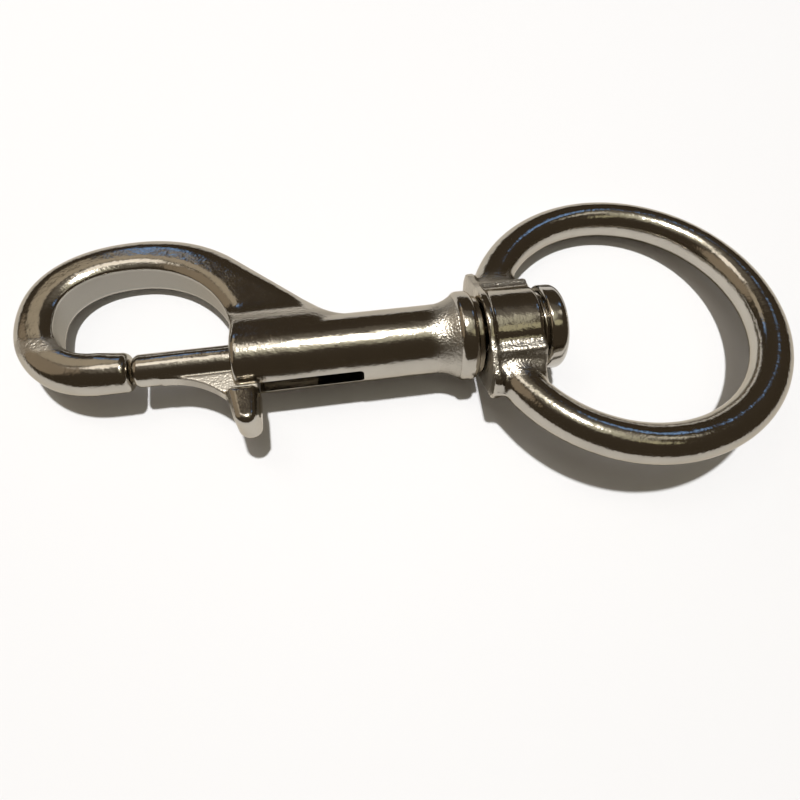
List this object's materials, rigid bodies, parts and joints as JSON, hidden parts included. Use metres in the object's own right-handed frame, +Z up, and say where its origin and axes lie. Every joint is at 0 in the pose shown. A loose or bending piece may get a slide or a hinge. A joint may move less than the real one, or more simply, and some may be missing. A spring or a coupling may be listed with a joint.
{
  "type": "swivel eye bolt snap hook",
  "caption": "Cast hook with a round barrel, a spring-loaded sliding bolt with a thumb lever that closes the hook's mouth, and a large round eye that swivels on a headed stud.",
  "frame": {"origin": "centre of the round eye, on the swivel's axis", "axes": "+X along the barrel's axis from the hook to the eye, +Y towards the hook's back, +Z up, square to the plane of the hook and the eye"},
  "size_m": [0.1213, 0.0511, 0.0144],
  "materials": {
    "body_steel": "polished casting, grainy in the fillets",
    "bolt_steel": "polished round, grainy as-cast web",
    "spring_steel": "drawn wire",
    "stud_steel": "turned and polished",
    "eye_steel": "polished casting"
  },
  "bodies": {
    "body": {"hook_body": "body_steel", "spring": "spring_steel", "swivel_stud": "stud_steel"},
    "bolt": {"bolt": "bolt_steel"},
    "eye": {"swivel_eye": "eye_steel"}
  },
  "joints": [
    {"name": "bolt_slide", "type": "slide", "parent": "body", "child": "bolt", "axis": [1, 0, 0], "range_m": [0, 0.0153], "stiffness_N_per_m": 250, "springref_m": -0.012, "deforming": ["spring"]},
    {"name": "eye_swivel", "type": "hinge", "parent": "body", "child": "eye", "pos_m": [-0.0204, 0, 0], "axis": [1, 0, 0], "continuous": true}
  ]
}
